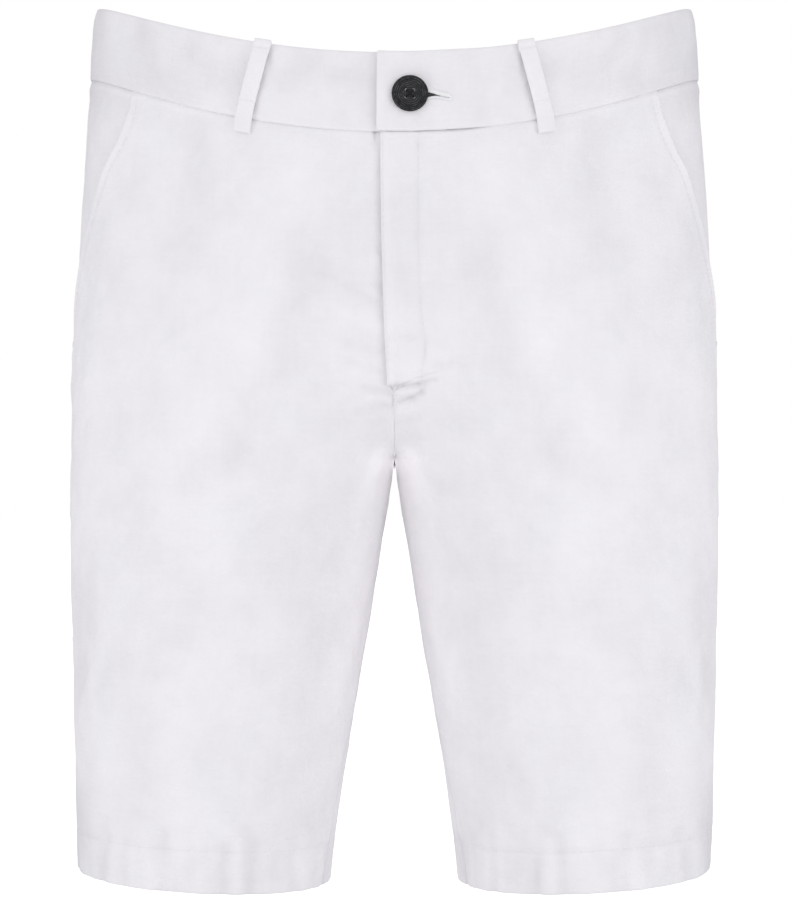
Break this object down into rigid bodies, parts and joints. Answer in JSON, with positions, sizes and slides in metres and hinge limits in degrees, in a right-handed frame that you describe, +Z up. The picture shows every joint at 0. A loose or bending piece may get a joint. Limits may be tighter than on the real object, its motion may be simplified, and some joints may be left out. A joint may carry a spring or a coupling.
{
  "type": "bermuda shorts",
  "caption": "Flat-front linen bermuda shorts, filled out as worn, with slant pockets, belt loops, a lapped fly and a four-hole button at the waist.",
  "frame": {"origin": "middle of the waist opening, level with the waistband's top edge at the sides", "axes": "+Z up, the front faces -Y, +X is the wearer's left"},
  "size_m": [0.3764, 0.2635, 0.505],
  "materials": {
    "linen": "off-white plain-weave linen, matte, softly creased",
    "button": "charcoal resin, turned, with a fine satin sheen"
  },
  "bodies": {
    "root": {"front_left": "linen", "front_right": "linen", "back_left": "linen", "back_right": "linen", "pocket_side_left": "linen", "pocket_side_right": "linen", "waistband_left": "linen", "waistband_right": "linen", "fly_underlap": "linen", "belt_loop_front_left": "linen", "belt_loop_front_right": "linen", "belt_loop_side_left": "linen", "belt_loop_side_right": "linen", "belt_loop_back": "linen", "button": "button"}
  },
  "joints": []
}
